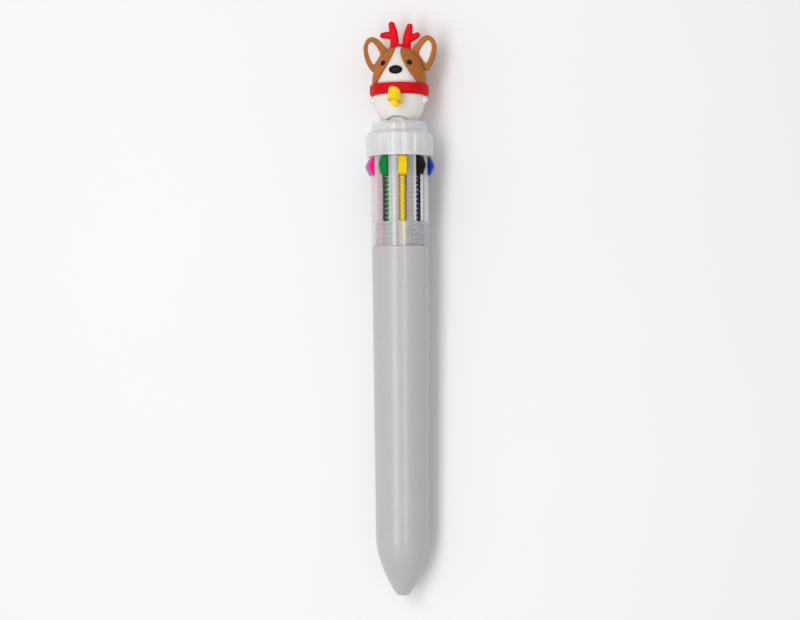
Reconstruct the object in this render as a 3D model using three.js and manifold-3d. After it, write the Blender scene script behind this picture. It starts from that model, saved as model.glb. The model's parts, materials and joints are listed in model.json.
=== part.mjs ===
// Ten-colour retractable ballpoint pen with a dog figure on its end, lying on a table.
//
// Millimetres, +Z up. Every piece is modelled in the pen's own frame: the pen's axis is z, the writing end
// is at z 0, and the figure's front faces -y. At the end of the file the whole pen is laid down on its back,
// so that it rests on two of its buttons and on the shoulder of its nose.
//
// Each refill hangs from its button. Straight below the button it runs parallel to the pen's axis, through
// its spring and the spring seat, and then leans inwards to the nose. When its button is pushed forward,
// the refill also turns a little about a point beside the spring seat, so its tip comes out on the axis.

import * as THREE from "three";
import { mergeVertices } from "three/addons/utils/BufferGeometryUtils.js";
import Module from "manifold-3d";

const wasm = await Module();
wasm.setup();

const radians = THREE.MathUtils.degToRad;
const MERGE_DISTANCE = 1e-4;
const GAP = 0.05; // between pieces that are pressed or moulded together

// Grey lower barrel
const BARREL = {
  top: 104.4,
  topRadius: 8.55,
  shoulder: 16.35, // where the nose begins
  shoulderRadius: 7.95,
  endRadius: 1.75,
  noseSweep: radians(28), // how far the nose's outline turns
  holeRadius: 1.25,
  holeLand: 0.5,
  boreRadius: 6.6,
  boreBottom: 17.5,
  socketRadius: 8.15,
  socketBottom: 98.3,
  sides: 36,
};

// Frosted upper housing, with one slot for each button, open at its top
const HOUSING = {
  bottom: 98.7,
  top: 137.9,
  spigotRadius: 8.06,
  lowRadius: 8.7,
  radius: 8.85,
  bore: 7.8,
  springBore: 7.75,
  ledgeRadius: 7.4,
  ledgeTop: 100.2,
  slotBottom: 111.6,
  slotWidth: 2.6,
  slotCorner: 0.5,
  sides: 40,
};

const SEAT = {
  bottom: 100.3,
  top: 101.8,
  radius: 7.68,
  holeRadius: 1.25,
  middleHole: 2.6,
  sides: 30,
  holeSides: 10,
};

// Fluted crown that closes the slots, and the plug pressed into it
const CROWN = {
  bottom: 131.2,
  top: 138.7,
  radius: 10.05,
  bore: 8.95,
  lipBore: 7.8,
  lipBottom: 138.0,
  flutes: 20,
  fluteDepth: 0.22,
  sidesPerFlute: 3,
};
const PLUG = { bottom: 134.2, top: 141.6, radius: 8.25, spigotRadius: 7.65, pegHole: 1.5, sides: 32 };
const PEG = {
  bottom: 138.9,
  top: 149.8,
  radius: 1.6,
  footRadius: 1.43,
  bossRadius: 4.2,
  bossHeight: 1.4,
  bossEdge: 0.3,
  sides: 16,
};

// The ten lines of button, spring and refill, in order round the pen from the one right of its front
const COLOURS = [
  ["yellow", 0xf5cf00],
  ["black", 0x121212],
  ["blue", 0x123c9c],
  ["purple", 0x6a2c91],
  ["orange", 0xf07c1c],
  ["red", 0xd0202c],
  ["brown", 0x6b4226],
  ["light_blue", 0x1e9fd4],
  ["pink", 0xf2389a],
  ["green", 0x07813c],
];
const LINE_PITCH = radians(360 / COLOURS.length);
const FIRST_LINE = LINE_PITCH / 2; // the front lies midway between two buttons
const LINE_RADIUS = 6.25; // from the pen's axis to a spring's axis

const BUTTON = {
  bottom: 125.6,
  top: 130.9,
  width: 2.45,
  crestRadius: 10.35,
  crestBottom: 128.0,
  crestTop: 128.7,
  faceRadius: 9.25,
  carriageTop: 134.0,
  carriageWidth: 2.2,
  carriageInner: 5.1,
  carriageOuter: 7.5,
  camInner: 1.8,
  camWidth: 0.7,
  camBottom: 127,
  camTop: 132,
  flangeBottom: 125.3,
  flangeHeight: 1,
  flangeRadius: 1.42,
  pinBottom: 121.5,
  pinRadius: 0.72,
};

const SPRING = { turns: 17, stepsPerTurn: 6, radius: 1.3, wire: 0.13 };

const REFILL = {
  top: 125.2,
  bend: 103, // below this the refill leans inwards
  radius: 1.05,
  bore: 0.8,
  tip: 11.1,
  tipRadius: 3.6, // from the pen's axis to the resting tip
  nibLength: 8.45,
  nibRadius: 1.0,
  shank: 0.74,
  shankLength: 2.5,
  sides: 10,
  nibSides: 8,
};
const REFILL_LEAN = Math.atan2(LINE_RADIUS - REFILL.tipRadius, REFILL.bend - REFILL.tip);

// The figure. Heights are on the pen's axis, and angles are measured from its front towards +x.
const FIGURE_TURN = radians(4); // the figure is not quite in line with the buttons
const TORSO = {
  bottom: 141.75,
  shoulder: 149.5,
  top: 152.8,
  neckRadius: 7.55,
  socket: 1.75,
  socketTop: 150.2,
  pocket: 4.4, // round the peg's boss
  pocketTop: 143.05,
};
const HEAD = { bottom: 152.85, widest: 153.5, widestRadius: 8.15, height: 11, roundness: 0.56, sides: 32 };
const PATCH = { thickness: 0.65, bottom: 152.9, top: 163.8, back: radians(179.6), across: 8, up: 7 };
const BLAZE = { narrowBelow: 163, halfWidth: 1.0, widening: 5.65, power: 1.55 };
const COLLAR = { bottom: 149.55, top: 152.75, bore: 7.65, radius: 8.9, edge: 0.5, sides: 32 };

const BELL = {
  reach: 9.9,
  height: 149,
  forward: radians(-14),
  lean: radians(-4),
  turn: radians(0.8),
  slant: -0.25,
};
const EYE = { angle: radians(34), height: 158.7, size: [0.9, 0.45, 0.85] };
const NOSE = { height: 156.55, size: [2.03, 1.15, 1.33] };

const MATERIAL = {
  barrel: plastic(0xbdbbbc, 0.5),
  frosted: plastic(0xdcdfe3, 0.35),
  seat: plastic(0xe8e8ea, 0.5),
  steel: new THREE.MeshStandardMaterial({ color: 0xb9bcc0, roughness: 0.3, metalness: 1 }),
  nib: new THREE.MeshStandardMaterial({ color: 0xc9b27a, roughness: 0.35, metalness: 1 }),
  white: plastic(0xe9e4e0, 0.6),
  brown: plastic(0xb0713d, 0.6),
  red: plastic(0xe0142a, 0.5),
  gold: plastic(0xf6cf10, 0.45),
  black: plastic(0x161616, 0.4),
};

function plastic(color, roughness) {
  return new THREE.MeshStandardMaterial({ color, roughness, metalness: 0 });
}

// ---------------------------------------------------------------- shapes

// Turns a closed geometry's faces outwards, whichever way its rings or profile ran.
function facingOut(geometry) {
  const flat = mergeVertices(positionsOnly(geometry), MERGE_DISTANCE);
  const position = flat.getAttribute("position");
  const corners = [0, 1, 2].map(() => new THREE.Vector3());
  const kept = [];
  let volume = 0;
  for (let i = 0; i < flat.index.count; i += 3) {
    const [a, b, c] = [0, 1, 2].map((k) => flat.index.getX(i + k));
    if (a === b || b === c || a === c) continue;
    kept.push(a, b, c);
    [a, b, c].forEach((at, k) => corners[k].fromBufferAttribute(position, at));
    volume += corners[0].dot(corners[1].clone().cross(corners[2]));
  }
  if (volume < 0) kept.reverse();
  return flat.setIndex(kept);
}

function positionsOnly(geometry) {
  const source = geometry.index ? geometry.toNonIndexed() : geometry;
  return new THREE.BufferGeometry().setAttribute("position", source.getAttribute("position"));
}

function toSolid(geometry) {
  const flat = facingOut(geometry);
  return new wasm.Manifold(
    new wasm.Mesh({
      numProp: 3,
      vertProperties: new Float32Array(flat.getAttribute("position").array),
      triVerts: new Uint32Array(flat.index.array),
    }),
  );
}

function toGeometry(solid) {
  const { vertProperties, triVerts } = solid.getMesh();
  return new THREE.BufferGeometry()
    .setAttribute("position", new THREE.BufferAttribute(vertProperties, 3))
    .setIndex(new THREE.BufferAttribute(triVerts, 1));
}

// A solid of revolution about z from a profile of [radius, height] points that starts and ends on the axis.
function turned(profile, sides) {
  const points = profile.map(([r, z]) => new THREE.Vector2(r, z));
  return facingOut(new THREE.LatheGeometry(points, sides).rotateX(Math.PI / 2));
}

// The same from a profile that closes on itself, such as a tube's wall.
function turnedRing(profile, sides) {
  return turned([...profile, profile[0]], sides);
}

// [radius, height] points on a circular arc that bulges away from the axis and turns by sweep.
function arcPoints([r0, z0], [r1, z1], sweep, steps) {
  const chord = Math.hypot(r1 - r0, z1 - z0);
  const radius = chord / 2 / Math.sin(sweep / 2);
  const [alongR, alongZ] = [(r1 - r0) / chord, (z1 - z0) / chord];
  return Array.from({ length: steps + 1 }, (_, i) => {
    const turn = sweep * (i / steps - 0.5);
    const along = chord / 2 + radius * Math.sin(turn);
    const bulge = radius * (Math.cos(turn) - Math.cos(sweep / 2));
    return [r0 + along * alongR + bulge * alongZ, z0 + along * alongZ - bulge * alongR];
  });
}

// A closed skin over rings of points, with a fan over each end.
function lofted(rings) {
  const count = rings[0].length;
  const centre = (ring) => ring.reduce((sum, p) => sum.add(p), new THREE.Vector3()).divideScalar(count);
  const points = [...rings.flat(), centre(rings[0]), centre(rings.at(-1))];
  const [firstCentre, lastCentre] = [points.length - 2, points.length - 1];
  const lastRing = (rings.length - 1) * count;
  const index = [];
  for (let j = 0; j < count; j++) {
    const next = (j + 1) % count;
    for (let at = 0; at < lastRing; at += count) {
      index.push(at + j, at + next, at + count + next, at + j, at + count + next, at + count + j);
    }
    index.push(firstCentre, next, j, lastCentre, lastRing + j, lastRing + next);
  }
  const geometry = new THREE.BufferGeometry().setFromPoints(points);
  return facingOut(geometry.setIndex(index));
}

// A round limb along a path, with its own radius at each point and domed ends.
function limb(path, radii, sides = 7) {
  const steps = (path.length - 1) * 2;
  const curve = new THREE.CatmullRomCurve3(path.map((p) => new THREE.Vector3(...p)));
  const frames = curve.computeFrenetFrames(steps);
  const ringAt = (i, shift, radius) => {
    const at = curve.getPointAt(i / steps).addScaledVector(frames.tangents[i], shift);
    return Array.from({ length: sides }, (_, j) => {
      const turn = (j / sides) * 2 * Math.PI;
      return at
        .clone()
        .addScaledVector(frames.normals[i], radius * Math.cos(turn))
        .addScaledVector(frames.binormals[i], radius * Math.sin(turn));
    });
  };
  const radiusAt = (i) => {
    const place = (i / steps) * (radii.length - 1);
    const low = Math.min(Math.floor(place), radii.length - 2);
    return THREE.MathUtils.lerp(radii[low], radii[low + 1], place - low);
  };
  const dome = [
    [0.95, 0.3],
    [0.65, 0.75],
  ];
  const rings = [];
  for (const [reach, share] of dome) rings.push(ringAt(0, -reach * radii[0], share * radii[0]));
  for (let i = 0; i <= steps; i++) rings.push(ringAt(i, 0, radiusAt(i)));
  for (const [reach, share] of dome.toReversed()) {
    rings.push(ringAt(steps, reach * radii.at(-1), share * radii.at(-1)));
  }
  return toSolid(lofted(rings));
}

// A curved plate between two grids of points with the same rows and columns.
function plate(outer, inner) {
  const [rows, columns] = [outer.length, outer[0].length];
  const points = [...outer.flat(), ...inner.flat()];
  const at = (side, i, j) => side * rows * columns + i * columns + j;
  const index = [];
  const quad = (a, b, c, d) => index.push(a, b, c, a, c, d);
  for (let i = 0; i + 1 < rows; i++) {
    for (let j = 0; j + 1 < columns; j++) {
      quad(at(0, i, j), at(0, i, j + 1), at(0, i + 1, j + 1), at(0, i + 1, j));
      quad(at(1, i, j), at(1, i + 1, j), at(1, i + 1, j + 1), at(1, i, j + 1));
    }
    quad(at(0, i, 0), at(0, i + 1, 0), at(1, i + 1, 0), at(1, i, 0));
    const edge = columns - 1;
    quad(at(0, i + 1, edge), at(0, i, edge), at(1, i, edge), at(1, i + 1, edge));
  }
  for (let j = 0; j + 1 < columns; j++) {
    quad(at(0, 0, j + 1), at(0, 0, j), at(1, 0, j), at(1, 0, j + 1));
    const edge = rows - 1;
    quad(at(0, edge, j), at(0, edge, j + 1), at(1, edge, j + 1), at(1, edge, j));
  }
  return facingOut(new THREE.BufferGeometry().setFromPoints(points).setIndex(index));
}

function circle(radius, sides, x = 0, y = 0) {
  return Array.from({ length: sides }, (_, i) => {
    const turn = (i / sides) * 2 * Math.PI;
    return new THREE.Vector2(x + radius * Math.cos(turn), y + radius * Math.sin(turn));
  });
}

function box(x0, x1, y0, y1, z0, z1) {
  const geometry = new THREE.BoxGeometry(x1 - x0, y1 - y0, z1 - z0);
  return toSolid(geometry.translate((x0 + x1) / 2, (y0 + y1) / 2, (z0 + z1) / 2));
}

function rod(radius, z0, z1, sides) {
  return toSolid(
    turned(
      [
        [0, z0],
        [radius, z0],
        [radius, z1],
        [0, z1],
      ],
      sides,
    ),
  );
}

// A point at an angle from the figure's front, a distance from the axis, and a height.
function around(angle, radius, z) {
  return new THREE.Vector3(radius * Math.sin(angle), -radius * Math.cos(angle), z);
}

// ---------------------------------------------------------------- barrel, housing and crown

function lowerBarrel() {
  const outside = arcPoints(
    [BARREL.endRadius, 0],
    [BARREL.shoulderRadius, BARREL.shoulder],
    BARREL.noseSweep,
    6,
  );
  const inside = arcPoints(
    [BARREL.holeRadius, BARREL.holeLand],
    [BARREL.boreRadius, BARREL.boreBottom],
    BARREL.noseSweep,
    4,
  );
  return turnedRing(
    [
      ...outside,
      [BARREL.topRadius, BARREL.top],
      [BARREL.socketRadius, BARREL.top],
      [BARREL.socketRadius, BARREL.socketBottom],
      [HOUSING.springBore, BARREL.socketBottom],
      ...inside.toReversed(),
      [BARREL.holeRadius, 0],
    ],
    BARREL.sides,
  );
}

function slottedHousing() {
  const step = BARREL.top + GAP;
  let solid = toSolid(
    turnedRing(
      [
        [HOUSING.spigotRadius, HOUSING.bottom],
        [HOUSING.spigotRadius, step],
        [HOUSING.lowRadius, step],
        [HOUSING.radius, BUTTON.flangeBottom],
        [HOUSING.radius, HOUSING.top],
        [HOUSING.bore, HOUSING.top],
        [HOUSING.bore, step + 1],
        [HOUSING.springBore, step],
        [HOUSING.springBore, HOUSING.ledgeTop],
        [HOUSING.ledgeRadius, HOUSING.ledgeTop],
        [HOUSING.ledgeRadius, HOUSING.bottom],
      ],
      HOUSING.sides,
    ),
  );
  const slot = slotCutter();
  for (let i = 0; i < COLOURS.length; i++) {
    solid = solid.subtract(toSolid(slot.clone().rotateZ(lineAngle(i))));
  }
  return toGeometry(solid);
}

// One slot at the front, with rounded lower corners and no top.
function slotCutter() {
  const [half, corner] = [HOUSING.slotWidth / 2, HOUSING.slotCorner];
  const [low, high] = [HOUSING.slotBottom, HOUSING.top + 1];
  const shape = new THREE.Shape()
    .moveTo(-half, high)
    .lineTo(-half, low + corner)
    .absarc(-half + corner, low + corner, corner, Math.PI, 1.5 * Math.PI)
    .absarc(half - corner, low + corner, corner, 1.5 * Math.PI, 2 * Math.PI)
    .lineTo(half, high);
  const depth = HOUSING.radius - HOUSING.ledgeRadius + 1;
  return new THREE.ExtrudeGeometry(shape, { depth, bevelEnabled: false, curveSegments: 2 })
    .rotateX(Math.PI / 2)
    .translate(0, -HOUSING.ledgeRadius, 0);
}

function springSeat() {
  const shape = new THREE.Shape(circle(SEAT.radius, SEAT.sides));
  shape.holes.push(new THREE.Path(circle(SEAT.middleHole, SEAT.holeSides)));
  for (let i = 0; i < COLOURS.length; i++) {
    const { x, y } = around(lineAngle(i), LINE_RADIUS, 0);
    shape.holes.push(new THREE.Path(circle(SEAT.holeRadius, SEAT.holeSides, x, y)));
  }
  const depth = SEAT.top - SEAT.bottom;
  const geometry = new THREE.ExtrudeGeometry(shape, { depth, bevelEnabled: false });
  return facingOut(geometry.translate(0, 0, SEAT.bottom));
}

// The crown's section has vee grooves down its outside. One of its flats faces straight back.
function crownRing() {
  const sides = CROWN.flutes * CROWN.sidesPerFlute;
  const profile = [
    [CROWN.radius - 0.3, CROWN.bottom, 1],
    [CROWN.radius, CROWN.bottom + 0.5, 1],
    [CROWN.radius, CROWN.top - 1, 1],
    [CROWN.bore, CROWN.top, 0],
    [CROWN.lipBore, CROWN.top, 0],
    [CROWN.lipBore, CROWN.lipBottom, 0],
    [CROWN.bore, CROWN.lipBottom, 0],
    [CROWN.bore, CROWN.bottom, 0],
  ];
  const column = (j) => {
    const groove = j % CROWN.sidesPerFlute === 0 ? CROWN.fluteDepth : 0;
    const turn = ((j + CROWN.sidesPerFlute / 2) / sides) * 2 * Math.PI;
    return profile.map(([r, z, fluted]) => around(turn, r - groove * fluted, z));
  };
  const columns = Array.from({ length: sides }, (_, j) => column(j));
  const count = profile.length;
  const index = [];
  for (let j = 0; j < sides; j++) {
    for (let i = 0; i < count; i++) {
      const [next, up] = [((j + 1) % sides) * count, (i + 1) % count];
      index.push(j * count + i, next + i, next + up, j * count + i, next + up, j * count + up);
    }
  }
  return facingOut(new THREE.BufferGeometry().setFromPoints(columns.flat()).setIndex(index));
}

function endPlug() {
  const flangeBottom = CROWN.top + GAP;
  return turned(
    [
      [0, PLUG.bottom],
      [PLUG.spigotRadius, PLUG.bottom],
      [PLUG.spigotRadius, flangeBottom],
      [PLUG.radius + 0.1, flangeBottom],
      [PLUG.radius, PLUG.top - 0.9],
      [PLUG.radius - 0.3, PLUG.top - 0.25],
      [PLUG.radius - 0.9, PLUG.top],
      [PLUG.pegHole, PLUG.top],
      [PLUG.pegHole, PEG.bottom - GAP],
      [0, PEG.bottom - GAP],
    ],
    PLUG.sides,
  );
}

function topperPeg() {
  return turned(
    [
      [0, PEG.bottom],
      [PEG.footRadius, PEG.bottom],
      [PEG.footRadius, PLUG.top + GAP],
      [PEG.bossRadius, PLUG.top + GAP],
      [PEG.bossRadius, PLUG.top + PEG.bossHeight - PEG.bossEdge],
      [PEG.bossRadius - PEG.bossEdge, PLUG.top + PEG.bossHeight],
      [PEG.radius, PLUG.top + PEG.bossHeight],
      [PEG.radius, PEG.top - 0.5],
      [PEG.radius - 0.4, PEG.top],
      [0, PEG.top],
    ],
    PEG.sides,
  );
}

// ---------------------------------------------------------------- buttons, springs and refills

function lineAngle(i) {
  return FIRST_LINE + i * LINE_PITCH;
}

// Button at the front: the part that a finger pushes, its carriage, the cam that frees another button's
// catch, the flange that its spring pushes on, and the pin that holds its refill.
function pushButton() {
  const knob = new THREE.Shape([
    new THREE.Vector2(BUTTON.carriageInner + 1, BUTTON.bottom),
    new THREE.Vector2(BUTTON.faceRadius, BUTTON.bottom),
    new THREE.Vector2(BUTTON.crestRadius, BUTTON.crestBottom),
    new THREE.Vector2(BUTTON.crestRadius, BUTTON.crestTop),
    new THREE.Vector2(BUTTON.faceRadius, BUTTON.top),
    new THREE.Vector2(BUTTON.carriageInner + 1, BUTTON.top),
  ]);
  // The outline's x becomes the distance in front of the axis, and its y the height.
  const knobSolid = toSolid(
    new THREE.ExtrudeGeometry(knob, { depth: BUTTON.width, bevelEnabled: false })
      .translate(0, 0, -BUTTON.width / 2)
      .rotateX(Math.PI / 2)
      .rotateZ(-Math.PI / 2),
  );
  const [halfCarriage, halfCam] = [BUTTON.carriageWidth / 2, BUTTON.camWidth / 2];
  const { carriageOuter, carriageInner, carriageTop, camInner, camBottom, camTop } = BUTTON;
  const flangeTop = BUTTON.flangeBottom + BUTTON.flangeHeight;
  return toGeometry(
    knobSolid
      .add(box(-halfCarriage, halfCarriage, -carriageOuter, -carriageInner, flangeTop - 0.2, carriageTop))
      .add(box(-halfCam, halfCam, -carriageInner - 0.3, -camInner, camBottom, camTop))
      .add(rod(BUTTON.flangeRadius, BUTTON.flangeBottom, flangeTop, 12).translate([0, -LINE_RADIUS, 0]))
      .add(rod(BUTTON.pinRadius, BUTTON.pinBottom, flangeTop, 8).translate([0, -LINE_RADIUS, 0])),
  );
}

// Round compression spring between the seat and the button's flange, with a three-sided wire.
function compressionSpring() {
  const [bottom, top] = [SEAT.top + SPRING.wire + GAP, BUTTON.flangeBottom - SPRING.wire - GAP];
  const steps = SPRING.turns * SPRING.stepsPerTurn;
  const rings = Array.from({ length: steps + 1 }, (_, i) => {
    const turn = (i / SPRING.stepsPerTurn) * 2 * Math.PI;
    const z = THREE.MathUtils.lerp(bottom, top, i / steps);
    const outward = new THREE.Vector3(Math.cos(turn), Math.sin(turn), 0);
    return [0, 1, 2].map((k) => {
      const round = (k / 3) * 2 * Math.PI;
      return outward
        .clone()
        .multiplyScalar(SPRING.radius + SPRING.wire * Math.cos(round))
        .add(new THREE.Vector3(0, -LINE_RADIUS, z + SPRING.wire * Math.sin(round)));
    });
  });
  return lofted(rings);
}

// How far a refill's centre line lies from the pen's axis at a height, with its button at rest.
function refillRadius(z) {
  return LINE_RADIUS - Math.max(0, REFILL.bend - z) * Math.tan(REFILL_LEAN);
}

function refillTube() {
  const bottom = REFILL.tip + REFILL.nibLength;
  const geometry = turnedRing(
    [
      [REFILL.radius, bottom],
      [REFILL.radius, REFILL.bend],
      [REFILL.radius, REFILL.top],
      [REFILL.bore, REFILL.top],
      [REFILL.bore, REFILL.bend],
      [REFILL.bore, bottom],
    ],
    REFILL.sides,
  );
  const position = geometry.getAttribute("position");
  for (let i = 0; i < position.count; i++) {
    position.setY(i, position.getY(i) - refillRadius(position.getZ(i)));
  }
  return geometry;
}

// Metal point with its shank inside the tube, leaning as the tube's lower part does.
function nib() {
  const shankTop = REFILL.nibLength + REFILL.shankLength;
  return turned(
    [
      [0, 0],
      [0.3, 0.15],
      [0.6, 2.2],
      [REFILL.nibRadius, 4.4],
      [REFILL.nibRadius, REFILL.nibLength - GAP],
      [REFILL.shank, REFILL.nibLength - GAP],
      [REFILL.shank, shankTop],
      [0, shankTop],
    ],
    REFILL.nibSides,
  )
    .rotateX(REFILL_LEAN)
    .translate(0, -REFILL.tipRadius, REFILL.tip);
}

// ---------------------------------------------------------------- dog figure

// The head's outline with its brown patches on.
function headRadius(z) {
  const rise = Math.max(0, z - HEAD.widest) / HEAD.height;
  return HEAD.widestRadius * Math.pow(Math.max(0, 1 - rise * rise), HEAD.roundness);
}

// Solid of revolution of the head's outline, grown or shrunk by a distance.
function headForm(grown) {
  const steps = 9;
  const side = Array.from({ length: steps }, (_, i) => {
    const z = HEAD.widest + HEAD.height * Math.sin((i / steps) * (Math.PI / 2));
    return [Math.max(0.4, headRadius(z) + grown), z];
  });
  const profile = [
    [0, HEAD.bottom],
    [HEAD.widestRadius - 0.25 + grown, HEAD.bottom],
    ...side,
    [0, HEAD.widest + HEAD.height + Math.min(grown, 0)],
  ];
  return turned(profile, HEAD.sides);
}

// How far round from the front the brown begins, so that the white blaze widens towards the collar.
function blazeEdge(z) {
  const { narrowBelow, widening, power } = BLAZE;
  const below = THREE.MathUtils.clamp((narrowBelow - z) / (narrowBelow - PATCH.bottom), 0, 1);
  const halfWidth = BLAZE.halfWidth + widening * Math.pow(below, power);
  return Math.asin(Math.min(0.9, halfWidth / headRadius(z)));
}

function facePatch(side) {
  const grid = (offset) =>
    Array.from({ length: PATCH.up + 1 }, (_, i) => {
      const z = THREE.MathUtils.lerp(PATCH.bottom, PATCH.top, i / PATCH.up);
      return Array.from({ length: PATCH.across + 1 }, (_, j) => {
        const angle = THREE.MathUtils.lerp(blazeEdge(z), PATCH.back, j / PATCH.across);
        return around(side * angle, headRadius(z) + offset, z);
      });
    });
  return toSolid(plate(grid(0), grid(-PATCH.thickness - 0.2))).subtract(
    toSolid(headForm(-PATCH.thickness + GAP)),
  );
}

function torso() {
  const outline = [
    [0, TORSO.socketTop],
    [TORSO.socket, TORSO.socketTop],
    [TORSO.socket, TORSO.pocketTop],
    [TORSO.pocket, TORSO.pocketTop],
    [TORSO.pocket, TORSO.bottom],
    [5, TORSO.bottom],
    [5.4, TORSO.bottom + 0.5],
    [6.2, 143.4],
    [7.05, 145],
    [7.65, 147],
    [7.95, 149.2],
    [7.85, TORSO.shoulder],
    [TORSO.neckRadius, TORSO.shoulder],
    [TORSO.neckRadius, TORSO.top],
    [0, TORSO.top],
  ];
  const paws = [-1, 1].map((side) =>
    limb(
      [
        [side * 7.1, -1.2, 148.3],
        [side * 7.6, -1.4, 148.2],
      ],
      [1.15, 1.25],
    ),
  );
  const arch = new THREE.CylinderGeometry(3.4, 3.4, 20, 16).scale(1, 1, 0.4).translate(0, 0, TORSO.bottom);
  return toSolid(turned(outline, 28)).add(paws[0]).add(paws[1]).subtract(toSolid(arch));
}

function collar() {
  const { bottom, top, bore, radius, edge, sides } = COLLAR;
  return turnedRing(
    [
      [bore, bottom],
      [radius - edge, bottom],
      [radius, bottom + edge],
      [radius, top - edge],
      [radius - edge, top],
      [bore, top],
    ],
    sides,
  );
}

// Bell with its clapper, moulded flat against the collar and chest. Its mouth faces a little forwards, and
// slants down towards +x.
function bell() {
  const body = turned(
    [
      [0, -4],
      [0.55, -3.8],
      [0.85, -3.2],
      [0.75, -1.2],
      [1.5, -1.3],
      [2.1, -2.05],
      [2.4, -1.9],
      [2.05, -0.9],
      [1.85, 0.4],
      [1.35, 1.5],
      [0, 2.15],
    ],
    16,
  )
    .applyMatrix4(new THREE.Matrix4().makeShear(0, BELL.slant, 0, 0, 0, 0))
    .rotateX(BELL.forward)
    .rotateY(BELL.lean)
    .translate(0, -BELL.reach, BELL.height)
    .rotateZ(BELL.turn);
  const chest = rod(8.05, TORSO.bottom, 151, 28);
  const band = rod(COLLAR.radius + GAP, COLLAR.bottom - GAP, TORSO.top, COLLAR.sides);
  return toSolid(body).subtract(chest).subtract(band);
}

// Ear outlines in the plane of the ears, for the ear at +x.
const EAR_OUTLINE = [
  [3.6, 163.5],
  [5.1, 165.4],
  [6.7, 167.0],
  [8.4, 167.55],
  [10.0, 166.7],
  [10.85, 164.8],
  [10.85, 162.8],
  [10.3, 160.4],
  [9.2, 158.2],
  [7.8, 157.0],
  [5.5, 158.5],
  [4.0, 161.0],
];
const LINING_OUTLINE = [
  [8.45, 166.1],
  [9.5, 165.1],
  [9.65, 163.4],
  [9.0, 161.0],
  [7.85, 159.15],
  [6.5, 160.7],
  [5.7, 162.4],
  [7.0, 164.8],
];
const EAR = { front: -0.3, back: 2.1, bevel: 0.45, recess: 0.9, lining: 0.5, rightShift: 0.25 };

// Extrudes an outline of [x, z] points from one depth to another, bulging or shrinking it by grown.
function cutOut(outline, side, front, back, bevel, grown) {
  const middle = outline.reduce((sum, [x, z]) => [sum[0] + x, sum[1] + z], [0, 0]);
  const [mx, mz] = middle.map((total) => total / outline.length);
  const points = outline.map(([x, z]) => {
    const reach = Math.hypot(x - mx, z - mz);
    const stretch = (reach + grown) / reach;
    return new THREE.Vector3(side * (mx + (x - mx) * stretch), mz + (z - mz) * stretch, 0);
  });
  const smooth = new THREE.CatmullRomCurve3(points, true).getPoints(outline.length * 2).slice(0, -1);
  const shape = new THREE.Shape(smooth.map((p) => new THREE.Vector2(p.x, p.y)));
  const geometry = new THREE.ExtrudeGeometry(shape, {
    depth: back - front - 2 * bevel,
    bevelEnabled: bevel > 0,
    bevelThickness: bevel,
    bevelSize: bevel,
    bevelOffset: -bevel,
    bevelSegments: 1,
  });
  return toSolid(geometry.rotateX(Math.PI / 2).translate(0, back - bevel, 0));
}

function ear(side) {
  const hollow = cutOut(LINING_OUTLINE, side, EAR.front - 1, EAR.front + EAR.recess, 0, 0.05);
  return cutOut(EAR_OUTLINE, side, EAR.front, EAR.back, EAR.bevel, 0)
    .subtract(hollow)
    .translate(earShift(side))
    .subtract(toSolid(headForm(GAP)));
}

function earLining(side) {
  const front = EAR.front + EAR.recess - EAR.lining;
  return cutOut(LINING_OUTLINE, side, front, EAR.front + EAR.recess - GAP, 0, 0)
    .translate(earShift(side))
    .subtract(toSolid(headForm(2 * GAP)));
}

// The ear at +x stands a little further out than the other.
function earShift(side) {
  return [side > 0 ? EAR.rightShift : 0, 0, 0];
}

// A button-like feature half sunk into the head at an angle and height.
function faceDome(angle, z, [halfWidth, depth, halfHeight], sunk) {
  const centre = around(angle, headRadius(z) - sunk, z);
  const geometry = new THREE.SphereGeometry(1, 12, 8)
    .scale(halfWidth, depth, halfHeight)
    .rotateX(radians(-10))
    .rotateZ(angle)
    .translate(centre.x, centre.y, centre.z);
  return toSolid(geometry).subtract(toSolid(headForm(GAP - sunk)));
}

// Antlers on a band over the head, moulded in one. Each limb is its path and the radii along it. The two
// beams differ a little: the one at -x is taller, and its tine is nearly level.
const BEAM_RADII = [1.35, 1.28, 1.25, 1.18, 0.92];
const TINE_RADII = [1.15, 1.1, 0.85];
const ANTLER_LIMBS = [
  [
    [
      [-1.86, 1.7, 163.6],
      [-1.7, 2.1, 166],
      [-1.86, 2.2, 168],
      [-2.18, 2.25, 169.7],
      [-2.6, 2.3, 171.4],
    ],
    BEAM_RADII,
  ],
  [
    [
      [-1.9, 2.2, 167.9],
      [-3.9, 2.2, 168.2],
      [-5.3, 2.2, 168.2],
    ],
    TINE_RADII,
  ],
  [
    [
      [2.05, 1.7, 163.6],
      [2.01, 2.1, 165.6],
      [2.16, 2.2, 167.4],
      [2.59, 2.25, 169.1],
      [2.92, 2.3, 170.65],
    ],
    BEAM_RADII,
  ],
  [
    [
      [2.3, 2.2, 166.7],
      [3.6, 2.2, 167.2],
      [5.2, 2.2, 168],
    ],
    TINE_RADII,
  ],
  [
    [
      [-2.6, 0.9, 163.5],
      [-1.4, 0.35, 164.15],
      [0, 0.15, 164.35],
      [1.4, 0.35, 164.15],
      [2.6, 0.9, 163.5],
    ],
    [0.95, 0.95],
  ],
];

function antlerBand() {
  return ANTLER_LIMBS.map(([path, radii]) => limb(path, radii))
    .reduce((all, part) => all.add(part))
    .subtract(toSolid(headForm(GAP)));
}

// ---------------------------------------------------------------- assembly

function piece(group, name, shape, material) {
  const geometry = shape.isBufferGeometry ? shape : toGeometry(shape);
  const mesh = new THREE.Mesh(geometry, material);
  mesh.name = name;
  group.add(mesh);
  return mesh;
}

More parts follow.
